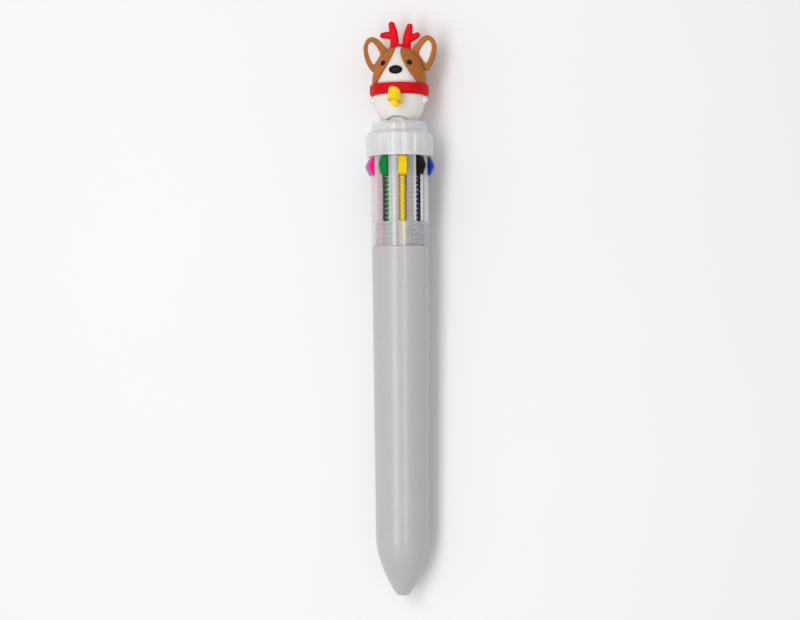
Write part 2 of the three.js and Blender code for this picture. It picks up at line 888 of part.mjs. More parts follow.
function colourLines() {
  const lines = new THREE.Group();
  const shapes = {
    button: pushButton(),
    spring: compressionSpring(),
    tube: refillTube(),
    nib: nib(),
  };
  COLOURS.forEach(([name, colour], i) => {
    const line = new THREE.Group();
    const ink = plastic(colour, 0.3);
    piece(line, `button_${name}`, shapes.button, ink);
    piece(line, `spring_${name}`, shapes.spring, MATERIAL.steel);
    piece(line, `refill_tube_${name}`, shapes.tube, ink);
    piece(line, `nib_${name}`, shapes.nib, MATERIAL.nib);
    line.rotation.z = lineAngle(i);
    lines.add(line);
  });
  return lines;
}

function dogFigure() {
  const figure = new THREE.Group();
  piece(figure, "figure_torso", torso(), MATERIAL.white);
  piece(figure, "figure_head", headForm(-PATCH.thickness), MATERIAL.white);
  piece(figure, "figure_collar", collar(), MATERIAL.red);
  piece(figure, "figure_bell", bell(), MATERIAL.gold);
  piece(figure, "figure_antler_band", antlerBand(), MATERIAL.red);
  piece(figure, "figure_nose", faceDome(0, NOSE.height, NOSE.size, PATCH.thickness), MATERIAL.black);
  for (const [side, word] of [
    [-1, "left"],
    [1, "right"],
  ]) {
    piece(figure, `figure_patch_${word}`, facePatch(side), MATERIAL.brown);
    piece(figure, `figure_ear_${word}`, ear(side), MATERIAL.brown);
    piece(figure, `figure_ear_lining_${word}`, earLining(side), MATERIAL.white);
    const eye = faceDome(side * EYE.angle, EYE.height, EYE.size, 0);
    piece(figure, `figure_eye_${word}`, eye, MATERIAL.black);
  }
  figure.rotation.z = FIGURE_TURN;
  return figure;
}

function wholePen() {
  const pen = new THREE.Group();
  pen.name = "pen";
  piece(pen, "lower_barrel", lowerBarrel(), MATERIAL.barrel);
  piece(pen, "slotted_housing", slottedHousing(), MATERIAL.frosted);
  piece(pen, "spring_seat", springSeat(), MATERIAL.seat);
  piece(pen, "crown_ring", crownRing(), MATERIAL.frosted);
  piece(pen, "end_plug", endPlug(), MATERIAL.frosted);
  piece(pen, "figure_peg", topperPeg(), MATERIAL.seat);
  pen.add(colourLines(), dogFigure());
  return pen;
}

// Lies the pen on its back along +Y, nose towards -Y, and tips it down onto the nose's shoulder. The two
// lowest buttons stand half a pitch either side of straight down, and rest on a corner of their crests.
function laidDown(pen) {
  const crestCorner = Math.hypot(BUTTON.crestRadius, BUTTON.width / 2);
  const cornerAngle = LINE_PITCH / 2 - Math.atan2(BUTTON.width / 2, BUTTON.crestRadius);
  const drop = crestCorner * Math.cos(cornerAngle) - BARREL.shoulderRadius;
  pen.rotation.x = -Math.PI / 2 + Math.atan2(drop, BUTTON.crestBottom - BARREL.shoulder);
  const table = new THREE.Group();
  table.add(pen);
  table.updateMatrixWorld(true);
  const bounds = new THREE.Box3().setFromObject(table, true);
  const middle = bounds.getCenter(new THREE.Vector3());
  pen.position.set(-middle.x, -middle.y, -bounds.min.z);
  return table;
}

const object = laidDown(wholePen());

export default object;
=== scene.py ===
import json
import math

import bmesh
import bpy
from mathutils import Matrix, Vector


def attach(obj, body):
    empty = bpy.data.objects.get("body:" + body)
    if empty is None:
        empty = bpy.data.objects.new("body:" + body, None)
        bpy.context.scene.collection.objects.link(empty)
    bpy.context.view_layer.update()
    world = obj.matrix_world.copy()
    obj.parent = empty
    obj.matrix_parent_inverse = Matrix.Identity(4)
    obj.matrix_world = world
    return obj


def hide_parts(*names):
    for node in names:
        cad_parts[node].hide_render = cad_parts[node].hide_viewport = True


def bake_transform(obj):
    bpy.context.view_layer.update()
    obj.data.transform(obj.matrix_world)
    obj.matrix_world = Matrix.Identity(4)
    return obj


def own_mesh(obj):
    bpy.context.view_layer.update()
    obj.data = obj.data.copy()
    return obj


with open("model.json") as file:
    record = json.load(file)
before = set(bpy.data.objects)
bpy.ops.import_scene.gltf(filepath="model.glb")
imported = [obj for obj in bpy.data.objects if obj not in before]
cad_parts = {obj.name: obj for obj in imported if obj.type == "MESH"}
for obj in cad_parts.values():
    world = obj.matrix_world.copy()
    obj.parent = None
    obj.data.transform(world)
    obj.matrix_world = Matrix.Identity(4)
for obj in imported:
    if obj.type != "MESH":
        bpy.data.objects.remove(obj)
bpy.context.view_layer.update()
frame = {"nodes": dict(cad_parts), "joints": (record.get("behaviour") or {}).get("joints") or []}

# The looks of a ten-colour click pen with a dog figure. Shapes are built in millimetres in the pen's own
# frame: its axis is z, the writing end is at z 0, and the figure's front faces -y. PEN takes them into the
# model's frame, where the pen lies on its back and lengths are in metres.

MM = 0.001
COLOURS = ("yellow", "black", "blue", "purple", "orange", "red", "brown", "light_blue", "pink", "green")
LINE_PITCH = math.radians(36)
FIRST_LINE = math.radians(18)
LINE_RADIUS = 6.25
SWIVEL_HEIGHT = 145.0
FIGURE_TURN = math.radians(4)

JOINTS = {j["name"]: j for j in frame["joints"]}


def pen_matrix():
    """The pen's frame in the model's frame, from the figure's swivel joint, which lies on the pen's axis."""
    swivel = JOINTS["figure_swivel"]
    axis = Vector(swivel["axis"]).normalized()
    across = Vector((1, 0, 0))
    back = axis.cross(across).normalized()
    origin = Vector(swivel["pos_m"]) - axis * SWIVEL_HEIGHT * MM
    turn = Matrix((across, back, axis)).transposed()
    return Matrix.Translation(origin) @ turn.to_4x4() @ Matrix.Scale(MM, 4)


PEN = pen_matrix()
PEN_TURN = (PEN.to_3x3() * (1 / MM)).to_4x4()


def around(angle, radius, z):
    """A point at an angle from the front towards +x, a distance from the axis, and a height."""
    return Vector((radius * math.sin(angle), -radius * math.cos(angle), z))


# ---------------------------------------------------------------- mesh tools


def mesh_object(name, points, faces):
    """A new object in the scene, of points and faces."""
    mesh = bpy.data.meshes.new(name)
    mesh.from_pydata([tuple(p) for p in points], [], faces)
    mesh.validate()
    obj = bpy.data.objects.new(name, mesh)
    bpy.context.scene.collection.objects.link(obj)
    return obj


def recalc(obj):
    """Merges points that meet and turns every face outwards."""
    bm = bmesh.new()
    bm.from_mesh(obj.data)
    bmesh.ops.remove_doubles(bm, verts=bm.verts, dist=1e-5)
    bmesh.ops.recalc_face_normals(bm, faces=bm.faces)
    bm.to_mesh(obj.data)
    bm.free()
    return obj


def apply_modifiers(obj):
    """Makes what the modifiers give the object's own mesh."""
    bpy.context.view_layer.update()
    evaluated = obj.evaluated_get(bpy.context.evaluated_depsgraph_get())
    mesh = bpy.data.meshes.new_from_object(evaluated)
    obj.modifiers.clear()
    old = obj.data
    obj.data = mesh
    bpy.data.meshes.remove(old)
    return obj


def rounded(points, radii, steps=4):
    """A [radius, height] outline with its inner corners filleted."""
    out = [tuple(points[0])]
    for i in range(1, len(points) - 1):
        p, a, b = (Vector(points[k]) for k in (i, i - 1, i + 1))
        r = radii.get(i, 0)
        to_a, to_b = a - p, b - p
        angle = to_a.angle(to_b)
        if r <= 0 or angle > math.radians(179):
            out.append(tuple(p))
            continue
        reach = min(r / math.tan(angle / 2), 0.49 * to_a.length, 0.49 * to_b.length)
        r = reach * math.tan(angle / 2)
        start, end = p + to_a.normalized() * reach, p + to_b.normalized() * reach
        middle = p + (to_a.normalized() + to_b.normalized()).normalized() * (r / math.sin(angle / 2))
        u, v = start - middle, end - middle
        sweep = u.angle(v)
        for k in range(steps + 1):
            t = k / steps
            mix = (u * math.sin((1 - t) * sweep) + v * math.sin(t * sweep)) / math.sin(sweep)
            out.append(tuple(middle + mix))
    out.append(tuple(points[-1]))
    return out


def all_round(points, radius, steps=4):
    """An outline with all its inner corners filleted alike."""
    return rounded(points, {i: radius for i in range(1, len(points) - 1)}, steps)


def lathe(name, profile, sides, closed=False, warp=None):
    """Turns an outline about z. It starts and ends on the axis, or closes on itself.

    warp, where given, changes the radius by (radius, height, turn).
    """
    profile = [tuple(p) for p in profile]
    points, faces, rows = [], [], []
    for r, z in profile:
        if r < 1e-6:
            rows.append([len(points)])
            points.append((0, 0, z))
            continue
        row = []
        for j in range(sides):
            turn = 2 * math.pi * j / sides
            radius = warp(r, z, turn) if warp else r
            row.append(len(points))
            points.append(tuple(around(turn, radius, z)))
        rows.append(row)
    pairs = list(zip(rows, rows[1:]))
    if closed:
        pairs.append((rows[-1], rows[0]))
    for low, high in pairs:
        for j in range(sides):
            k = (j + 1) % sides
            if len(low) == 1 and len(high) == 1:
                continue
            if len(low) == 1:
                faces.append((low[0], high[k], high[j]))
            elif len(high) == 1:
                faces.append((low[j], low[k], high[0]))
            else:
                faces.append((low[j], low[k], high[k], high[j]))
    return recalc(mesh_object(name, points, faces))


def slab(name, near, far):
    """The solid between two loops of as many points each."""
    n = len(near)
    faces = [tuple(range(n)), tuple(range(n, 2 * n))]
    faces += [(i, (i + 1) % n, n + (i + 1) % n, n + i) for i in range(n)]
    return recalc(mesh_object(name, near + far, faces))


def prism(name, outline, y0, y1):
    """A prism of an [x, z] outline between two depths."""
    return slab(name, [(x, y0, z) for x, z in outline], [(x, y1, z) for x, z in outline])


def spline_point(p0, p1, p2, p3, t):
    """A point on a Catmull-Rom curve, between p1 and p2."""
    square = (2 * p0 - 5 * p1 + 4 * p2 - p3) * t * t
    cube = (3 * p1 - p0 - 3 * p2 + p3) * t**3
    return 0.5 * (2 * p1 + (p2 - p0) * t + square + cube)


def smooth_loop(outline, steps):
    """A closed Catmull-Rom curve through the outline's points."""
    n, out = len(outline), []
    for i in range(n):
        near = [Vector(outline[(i + k) % n]) for k in (-1, 0, 1, 2)]
        out += [tuple(spline_point(*near, k / steps)) for k in range(steps)]
    return out


# The rings of a domed end: how far out each is, and how wide, both as shares of the radius.
DOME = ((0.97, 0.24), (0.85, 0.53), (0.6, 0.8), (0.3, 0.954))


def sweep_tube(name, path, radii, sides, domed=True):
    """A round tube along points, with a radius at each, and domed or flat ends."""
    path = [Vector(p) for p in path]
    n = len(path)
    tangents = [(path[min(i + 1, n - 1)] - path[max(i - 1, 0)]).normalized() for i in range(n)]
    side = tangents[0].orthogonal().normalized()
    rings = []

    def ring(centre, tangent, side, radius):
        up = tangent.cross(side)
        return [
            centre + side * (radius * math.cos(a)) + up * (radius * math.sin(a))
            for a in (2 * math.pi * k / sides for k in range(sides))
        ]

    if domed:
        for reach, share in DOME:
            centre = path[0] - tangents[0] * reach * radii[0]
            rings.append(ring(centre, tangents[0], side, share * radii[0]))
    for i in range(n):
        if i:
            side = (side - tangents[i] * side.dot(tangents[i])).normalized()
        rings.append(ring(path[i], tangents[i], side, radii[i]))
    if domed:
        for reach, share in reversed(DOME):
            centre = path[-1] + tangents[-1] * reach * radii[-1]
            rings.append(ring(centre, tangents[-1], side, share * radii[-1]))
    points = [p for r in rings for p in r]
    faces = [tuple(range(sides)), tuple(range(len(points) - sides, len(points)))]
    for i in range(len(rings) - 1):
        for k in range(sides):
            a, b = i * sides + k, i * sides + (k + 1) % sides
            faces.append((a, b, b + sides, a + sides))
    return recalc(mesh_object(name, points, faces))


def boolean(obj, others, operation):
    """Cuts other shapes out of one, or joins them to it, and removes them."""
    for other in others:
        cut = obj.modifiers.new("cut", "BOOLEAN")
        cut.operation = operation
        cut.solver = "EXACT"
        cut.object = other
    apply_modifiers(obj)
    for other in others:
        bpy.data.objects.remove(other)
    return obj


def bevel(obj, width, segments=3, angle=32):
    """Rounds the edges that turn by more than an angle in degrees."""
    edge = obj.modifiers.new("edge", "BEVEL")
    edge.width = width
    edge.segments = segments
    edge.limit_method = "ANGLE"
    edge.angle_limit = math.radians(angle)
    edge.use_clamp_overlap = True
    return apply_modifiers(obj)


def remesh(obj, size, smoothing):
    """One skin over joined shapes, with the creases between them softened."""
    skin = obj.modifiers.new("skin", "REMESH")
    skin.mode = "VOXEL"
    skin.voxel_size = size
    soft = obj.modifiers.new("soft", "SMOOTH")
    soft.factor = 0.5
    soft.iterations = smoothing
    return apply_modifiers(obj)


def join(objects):
    """One object of several shapes."""
    bm = bmesh.new()
    for obj in objects:
        bm.from_mesh(obj.data)
    bm.to_mesh(objects[0].data)
    bm.free()
    for obj in objects[1:]:
        bpy.data.objects.remove(obj)
    return objects[0]


def turned_copy(source, angle):
    """A copy of a shape made at the front, turned about the pen's axis."""
    obj = bpy.data.objects.new(source.name, source.data.copy())
    bpy.context.scene.collection.objects.link(obj)
    obj.data.transform(Matrix.Rotation(angle, 4, "Z"))
    return obj


def place(obj, name, material, body=None, stands_for=(), sharp=35, turn=0.0):
    """Takes a finished shape into the model's frame, and gives it its material, shading and body."""
    obj.name = name
    obj.data.name = name
    mesh = obj.data
    mesh.shade_smooth()
    mesh.set_sharp_from_angle(angle=math.radians(sharp))
    weighted = obj.modifiers.new("weighted", "WEIGHTED_NORMAL")
    weighted.keep_sharp = True
    apply_modifiers(obj)
    obj.data.name = name
    obj.data.transform(PEN @ Matrix.Rotation(turn, 4, "Z"))
    obj.data.materials.clear()
    obj.data.materials.append(material)
    if stands_for:
        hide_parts(*stands_for)
    if body:
        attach(obj, body)
    return obj


# ---------------------------------------------------------------- materials


def linear(code):
    """Linear colour from a six-digit screen colour."""

    def one(v):
        v /= 255
        return v / 12.92 if v <= 0.04045 else ((v + 0.055) / 1.055) ** 2.4

    return tuple(one((code >> shift) & 255) for shift in (16, 8, 0))


class Nodes:
    """A material's node tree, with the few nodes that these materials share."""

    def __init__(self, name):
        self.material = bpy.data.materials.new(name)
        self.material.use_nodes = True
        self.tree = self.material.node_tree
        self.shader = self.tree.nodes["Principled BSDF"]
        self.where = self.tree.nodes.new("ShaderNodeTexCoord").outputs["Object"]

    def new(self, kind, **inputs):
        node = self.tree.nodes.new(kind)
        for key, value in inputs.items():
            node.inputs[key.replace("_", " ")].default_value = value
        return node

    def link(self, a, b):
        self.tree.links.new(a, b)

    def noise(self, scale, detail=3.0, roughness=0.55, stretch=(1, 1, 1)):
        """Fractal noise. scale is in features per metre, and stretch lengthens them along an axis."""
        mapping = self.new("ShaderNodeMapping")
        mapping.inputs["Scale"].default_value = tuple(scale / s for s in stretch)
        self.link(self.where, mapping.inputs["Vector"])
        noise = self.new("ShaderNodeTexNoise", Scale=1.0, Detail=detail, Roughness=roughness)
        self.link(mapping.outputs["Vector"], noise.inputs["Vector"])
        return noise.outputs["Fac"]

    def spread(self, value, low, high, start=0.3, end=0.7):
        """A value's stretch from start to end, taken to low and high."""
        node = self.new("ShaderNodeMapRange", From_Min=start, From_Max=end, To_Min=low, To_Max=high)
        self.link(value, node.inputs["Value"])
        return node.outputs["Result"]

    def mottled(self, color, value, amount):
        """The colour, made a little darker and lighter by a noise."""
        ramp = self.new("ShaderNodeValToRGB")
        ramp.color_ramp.elements[0].position = 0.3
        ramp.color_ramp.elements[1].position = 0.7
        ramp.color_ramp.elements[0].color = (*(c * (1 - amount) for c in color), 1)
        ramp.color_ramp.elements[1].color = (*(min(1, c * (1 + amount)) for c in color), 1)
        self.link(value, ramp.inputs["Fac"])
        self.link(ramp.outputs["Color"], self.shader.inputs["Base Color"])

    def bumps(self, layers):
        """Several bump layers of (height, strength, distance in metres)."""
        normal = None
        for height, strength, distance in layers:
            bump = self.new("ShaderNodeBump", Strength=strength, Distance=distance)
            self.link(height, bump.inputs["Height"])
            if normal:
                self.link(normal, bump.inputs["Normal"])
            normal = bump.outputs["Normal"]
        self.link(normal, self.shader.inputs["Normal"])


def moulded(name, code, rough, mottle=0.03, grain=4000, grain_depth=4e-6, rough_spread=0.05, **sockets):
    """Injection-moulded plastic: an even colour with slight mottling, fine grain and uneven gloss."""
    n = Nodes(name)
    n.mottled(linear(code), n.noise(160, 4), mottle)
    gloss = n.spread(n.noise(700, 3), rough - rough_spread, rough + rough_spread)
    n.link(gloss, n.shader.inputs["Roughness"])
    n.bumps([(n.noise(350, 2), 0.25, 1.5e-5), (n.noise(grain, 2, 0.6), 0.5, grain_depth)])
    for key, value in sockets.items():
        n.shader.inputs[key.replace("_", " ")].default_value = value
    return n.material


def frosted(name, code, cover, rough, ior):
    """Milky see-through plastic, a little cloudier here and there, with faint flow lines along the pen.

    Its gloss fades with its cover, so the ior is high to make up for that.
    """
    n = Nodes(name)
    n.mottled(linear(code), n.noise(250, 3), 0.02)
    flow = n.noise(2600, 3, 0.6, stretch=(1, 14, 1))
    n.link(n.spread(flow, rough - 0.04, rough + 0.06), n.shader.inputs["Roughness"])
    n.link(n.spread(n.noise(420, 4), cover - 0.03, cover + 0.03), n.shader.inputs["Alpha"])
    n.bumps([(n.noise(300, 2), 0.3, 2e-5), (flow, 0.5, 5e-6)])
    n.shader.inputs["IOR"].default_value = ior
    return n.material


def metal(name, code, rough, stretch):
    """Bare metal with fine scratches and uneven gloss."""
    n = Nodes(name)
    scratches = n.noise(5200, 3, 0.6, stretch=stretch)
    n.mottled(linear(code), scratches, 0.06)
    n.link(n.spread(scratches, rough - 0.06, rough + 0.08), n.shader.inputs["Roughness"])
    n.bumps([(scratches, 0.3, 3e-6)])
    n.shader.inputs["Metallic"].default_value = 1.0
    return n.material


BARREL_GREY = moulded("barrel_grey", 0xB9B7B7, 0.32, mottle=0.015, grain=3200, grain_depth=1e-6)
FROSTED = frosted("frosted_clear", 0xE2E2E6, 0.32, 0.18, 2.0)
FROSTED_CROWN = frosted("frosted_crown", 0xF0F0F0, 0.6, 0.2, 1.7)
# Painted highlight: a paler, more opaque frosted plastic that the slots' cut edges get, so that they look
# lit.
RIM_HIGHLIGHT_PAINT = frosted("frosted_rim_painted_highlight", 0xF2F0F2, 0.8, 0.25, 1.5)
SEAT_WHITE = moulded("natural_white", 0xE8E8EA, 0.45, mottle=0.02)
SPRING_STEEL = metal("spring_steel", 0xD5D8DC, 0.26, (1, 1, 1))
NIB_METAL = metal("nib_metal", 0xC9B98A, 0.28, (1, 8, 1))
FIGURE_WHITE = moulded("figure_white", 0xE9E3DF, 0.55, mottle=0.015, grain=5000)
FIGURE_BROWN = moulded("figure_brown", 0xB2692F, 0.52, mottle=0.05, grain=5000, Specular_IOR_Level=0.12)
FIGURE_RED = moulded("figure_red", 0xE60A20, 0.48, mottle=0.04, grain=5000, Specular_IOR_Level=0.1)
# Painted shade: the figure's red, made darker for the collar.
COLLAR_RED_SHADED = moulded("collar_red_painted_shade", 0xD00518, 0.48, mottle=0.04, grain=5000, Specular_IOR_Level=0.1)
FIGURE_GOLD = moulded("figure_gold", 0xF7D314, 0.42, mottle=0.03, grain=5000, Specular_IOR_Level=0.25)
FIGURE_BLACK = moulded("figure_black", 0x0A0A0A, 0.35, mottle=0.05, grain=5000, Specular_IOR_Level=0.15)
INKS = {
    "yellow": 0xF5CF00,
    "black": 0x080808,
    "blue": 0x06309A,
    "purple": 0x6A2C91,
    "orange": 0xF07C1C,
    "red": 0xD0202C,
    "brown": 0x6B4226,
    "light_blue": 0x1E9FD4,
    "pink": 0xF22A92,
    "green": 0x07813C,
}
INK = {
    c: moulded("ink_" + c, code, 0.24, mottle=0.03, grain=4500, grain_depth=2e-6, Specular_IOR_Level=0.1)
    for c, code in INKS.items()
}


# ---------------------------------------------------------------- barrel, housing and crown


def arc_outline(p0, p1, sweep, steps):
    """Points on a circular arc that bulges away from the axis."""
    chord = math.dist(p0, p1)
    radius = chord / 2 / math.sin(sweep / 2)
    ar, az = (p1[0] - p0[0]) / chord, (p1[1] - p0[1]) / chord
    out = []
    for i in range(steps + 1):
        turn = sweep * (i / steps - 0.5)
        along = chord / 2 + radius * math.sin(turn)
        bulge = radius * (math.cos(turn) - math.cos(sweep / 2))
        out.append((p0[0] + along * ar + bulge * az, p0[1] + along * az - bulge * ar))
    return out


BARREL_TOP = 104.4
SLOT_LOW = 111.6
SLOT_HIGH = 139.0
SLOT_WIDTH = 2.6
SLOT_CORNER = 0.5
HOUSING_SIDES = 100  # columns that clear the slots' edges, so that the edges can be rounded


def lower_barrel():
    """Tapered shell with a rounded nose and a writing hole, open to the housing's spigot at the top."""
    nose = math.radians(28)
    outside = arc_outline((1.75, 0), (7.95, 16.35), nose, 40)
    inside = arc_outline((1.25, 0.5), (6.6, 17.5), nose, 20)
    lip = rounded(
        [(8.0, 30), (8.55, BARREL_TOP), (8.15, BARREL_TOP), (8.15, 98.3), (7.75, 98.3)],
        {1: 0.12, 2: 0.08},
    )
    profile = [(1.25, 0.12), (1.32, 0.03), (1.4, 0)] + [(1.62, 0), (1.72, 0.04)] + outside[1:-1]
    profile += rounded([outside[-2], (7.95, 16.35), (8.05, 31.0)], {1: 40}, 8)[1:-1]
    profile += [(8.05, 31.0)] + lip[1:] + list(reversed(inside))
    return lathe("lower_barrel", profile, 160, closed=True)


def slot_cutter():
    """A slot at the front, open at the top and with round corners at its foot."""
    half, corner, steps = SLOT_WIDTH / 2, SLOT_CORNER, 5
    outline = [(half, SLOT_HIGH), (-half, SLOT_HIGH), (-half, SLOT_LOW + corner)]
    for cx, start in ((-half + corner, math.pi), (half - corner, 1.5 * math.pi)):
        for k in range(steps + 1):
            a = start + k / steps * math.pi / 2
            outline.append((cx + corner * math.cos(a), SLOT_LOW + corner + corner * math.sin(a)))
    return prism("slot", outline, -10.5, -7.2)


def slotted_housing():
    """Frosted shell with ten slots, and a spigot that goes into the barrel."""
    profile = all_round(
        [
            (7.4, 99.4),
            (7.4, 98.7),
            (8.06, 98.7),
            (8.06, 104.46),
            (8.66, 104.46),
            (8.72, 111.2),
            (8.82, 111.5),
            (8.85, 125),
            (8.85, 137.9),
            (7.8, 137.9),
            (7.8, 105.5),
            (7.75, 104.5),
            (7.75, 100.2),
            (7.4, 100.2),
            (7.4, 99.4),
        ],
        0.08,
        3,
    )[:-1]
    obj = lathe("slotted_housing", profile, HOUSING_SIDES, closed=True)
    cutters = []
    for i in range(len(COLOURS)):
        cutter = slot_cutter()
        cutter.data.transform(Matrix.Rotation(FIRST_LINE + i * LINE_PITCH, 4, "Z"))
        cutters.append(cutter)
    boolean(obj, cutters, "DIFFERENCE")
    return bevel(obj, 0.15, 3, 50)


def paint_rim_highlights(housing):
    """The slots' cut edges get a paler, more opaque plastic: a painted highlight where the edges catch
    light.
    """
    reach_down, reach_aside = 0.12, 0.2
    outward_limit = 0.985  # faces that look straight out or in stay frosted
    # the rims' painted highlight
    housing.data.materials.append(RIM_HIGHLIGHT_PAINT)
    back = PEN.inverted()
    for face in housing.data.polygons:
        centre = back @ face.center
        facing = (back.to_3x3() @ face.normal).normalized()
        outward = Vector((centre.x, centre.y, 0)).normalized()
        angle = math.atan2(centre.x, -centre.y) - FIRST_LINE
        aside = centre.xy.length * math.sin(angle - LINE_PITCH * round(angle / LINE_PITCH))
        by_slot = centre.z > SLOT_LOW - reach_down and abs(aside) < SLOT_WIDTH / 2 + reach_aside
        if by_slot and abs(facing.dot(outward)) < outward_limit:
            face.material_index = 1


CROWN_LOW = 131.2
CROWN_HIGH = 138.7
FLUTES = 20
FLUTE_DEPTH = 0.22
FLUTE_SHARE = 0.30  # a flute's half width, as a share of the flutes' pitch
FLUTE_RISE = 0.75
FLUTE_ROUND = 1.0
FLUTE_FADE = 1.1
FLUTED_FROM = 9.3


def fluted(r, z, turn):
    """The crown's radius, with shallow hollows round the outside, each with a round lower end."""
    start = CROWN_LOW + FLUTE_RISE
    if r < FLUTED_FROM or z < start:
        return r
    across = ((turn * FLUTES / (2 * math.pi) + 0.5) % 1) - 0.5
    half = FLUTE_SHARE
    if z < start + FLUTE_ROUND:
        half *= math.sqrt(max(0.0, 1 - ((start + FLUTE_ROUND - z) / FLUTE_ROUND) ** 2))
    if half <= 0 or abs(across) >= half:
        return r
    fade = 1.0 if z < CROWN_HIGH - FLUTE_FADE else max(0.0, (CROWN_HIGH - z) / FLUTE_FADE)
    return r - FLUTE_DEPTH * (1 - (across / half) ** 2) * fade


def crown_ring():
    """Fluted ring over the housing's top, open at both ends."""
    low, high, row_height = CROWN_LOW, CROWN_HIGH, 0.15
    corners = rounded(
        [(9.3, low), (10.05, low), (10.05, high - 1.0), (8.95, high), (7.8, high)],
        {1: 0.3, 2: 0.15, 3: 0.2},
        5,
    )
    outside = []
    for (r0, z0), (r1, z1) in zip(corners, corners[1:]):
        steps = max(1, int(abs(z1 - z0) / row_height))
        outside += [(r0 + (r1 - r0) * k / steps, z0 + (z1 - z0) * k / steps) for k in range(steps)]
    inside = [(7.85, high), (7.8, high - 0.05), (7.8, 138.0), (8.95, 138.0), (8.95, low + 0.1), (9.05, low)]
    return lathe("crown_ring", outside + inside, 480, closed=True, warp=fluted)


def end_plug():
    """Stepped plug in the crown, with a blind hole for the peg."""
    profile = rounded(
        [
            (0, 134.2),
            (7.65, 134.2),
            (7.65, 138.76),
            (8.35, 138.76),
            (8.25, 140.4),
            (8.05, 141.6),
            (1.5, 141.6),
            (1.5, 138.85),
            (0, 138.85),
        ],
        {1: 0.2, 2: 0.1, 3: 0.12, 4: 0.5, 5: 0.75, 6: 0.12},
        6,
    )
    return lathe("end_plug", profile, 144)


PLUG_TOP = 141.6


def figure_peg():
    """Peg with a round boss, for the figure to turn on."""
    top = PLUG_TOP
    profile = rounded(
        [
            (0, 138.9),
            (1.43, 138.9),
            (1.43, top + 0.06),
            (4.2, top + 0.06),
            (4.2, top + 1.4),
            (1.6, top + 1.4),
            (1.6, 149.3),
            (1.2, 149.8),
            (0, 149.8),
        ],
        {1: 0.15, 3: 0.05, 4: 0.3, 5: 0.1, 6: 0.2, 7: 0.1},
        5,
    )
    return lathe("figure_peg", profile, 64)


def root_pieces():
    """The pen body's pieces. The spring seat keeps its shape and gets its plastic."""
    place(lower_barrel(), "barrel_shell", BARREL_GREY, "pen_body", ["lower_barrel"])
    housing = slotted_housing()
    place(housing, "housing_shell", FROSTED, "pen_body", ["slotted_housing"], sharp=30)
    paint_rim_highlights(housing)
    place(crown_ring(), "crown", FROSTED_CROWN, "pen_body", ["crown_ring"], sharp=40)
    place(end_plug(), "plug", FROSTED_CROWN, "pen_body", ["end_plug"])
    place(figure_peg(), "peg", SEAT_WHITE, "pen_body", ["figure_peg"])
    seat = frame["nodes"]["spring_seat"]
    seat.data.materials.clear()
    seat.data.materials.append(SEAT_WHITE)


# ---------------------------------------------------------------- buttons, springs and refills


KNOB_WIDTH = 2.45


def push_button():
    """Button at the front, with its carriage, cam, spring flange and refill pin."""
    knob_side = [
        (-6.2, 125.6),
        (-9.25, 125.6),
        (-10.4, 128.05),
        (-10.4, 128.65),
        (-9.25, 130.9),
        (-6.2, 130.9),
    ]
    half = KNOB_WIDTH / 2
    knob = slab("knob", [(-half, y, z) for y, z in knob_side], [(half, y, z) for y, z in knob_side])
    bevel(knob, 0.27, 4, 20)
    carriage = prism("carriage", [(-1.1, 126.3), (1.1, 126.3), (1.1, 134.0), (-1.1, 134.0)], -7.5, -5.1)
    bevel(carriage, 0.12, 2)
    cam = prism("cam", [(-0.35, 127), (0.35, 127), (0.35, 131.2), (0, 132), (-0.35, 131.2)], -5.4, -1.8)
    bevel(cam, 0.06, 2)
    flange_side = [(0, 125.3), (1.42, 125.3), (1.42, 126.4), (0, 126.4)]
    flange = lathe("flange", rounded(flange_side, {1: 0.1, 2: 0.1}), 32)
    pin_side = [(0, 121.5), (0.72, 121.5), (0.72, 126.4), (0, 126.4)]
    pin = lathe("pin", rounded(pin_side, {1: 0.2}), 24)
    for part in (flange, pin):
        part.data.transform(Matrix.Translation((0, -LINE_RADIUS, 0)))
    return boolean(knob, [carriage, cam, flange, pin], "UNION")


SPRING_LOW = 101.85
SPRING_HIGH = 125.25


def compression_spring():
    """Round wire wound right-handed, with a little more than one closed turn at each end."""
    wire_radius = 0.125
    coil_radius = 1.3
    open_turns = 16.2
    closed_turns = 1.25
    points_per_turn = 26
    low, high = SPRING_LOW + wire_radius, SPRING_HIGH - wire_radius
    closed_rise = closed_turns * wire_radius * 2.1  # closed turns just clear each other
    turns = open_turns + 2 * closed_turns
    count = int(turns * points_per_turn)
    path = []
    for i in range(count + 1):
        turn = turns * i / count
        if turn < closed_turns:
            z = low + closed_rise * turn / closed_turns
        elif turn > turns - closed_turns:
            z = high - closed_rise * (turns - turn) / closed_turns
        else:
            z = low + closed_rise + (high - low - 2 * closed_rise) * (turn - closed_turns) / open_turns
        a = 2 * math.pi * turn
        path.append((coil_radius * math.cos(a), coil_radius * math.sin(a) - LINE_RADIUS, z))
    return sweep_tube("spring", path, [wire_radius] * len(path), 8, domed=False)


REFILL_BEND = 103.0
REFILL_TIP = 11.1
TIP_RADIUS = 3.6
REFILL_LEAN = math.atan2(LINE_RADIUS - TIP_RADIUS, REFILL_BEND - REFILL_TIP)


def refill_radius(z):
    """How far from the pen's axis a refill runs: straight at the top, and leaning in below the bend."""
    return LINE_RADIUS - max(0.0, REFILL_BEND - z) * math.tan(REFILL_LEAN)


def refill_tube():
    """Ink tube, open at the top, with a neck where the point is pressed in."""
    low = REFILL_TIP + 8.45
    heights = [low + 0.35] + [low + 3 + k * 4.5 for k in range(23)] + [125.1]
    profile = [(0.82, low), (0.98, low), (1.05, low + 0.15)]
    profile += [(1.05, z) for z in heights] + [(1.0, 125.2), (0.84, 125.2), (0.8, 125.1), (0.8, low)]
    obj = lathe("refill", profile, 28, closed=True)
    for v in obj.data.vertices:
        v.co.y -= refill_radius(v.co.z)
    return obj


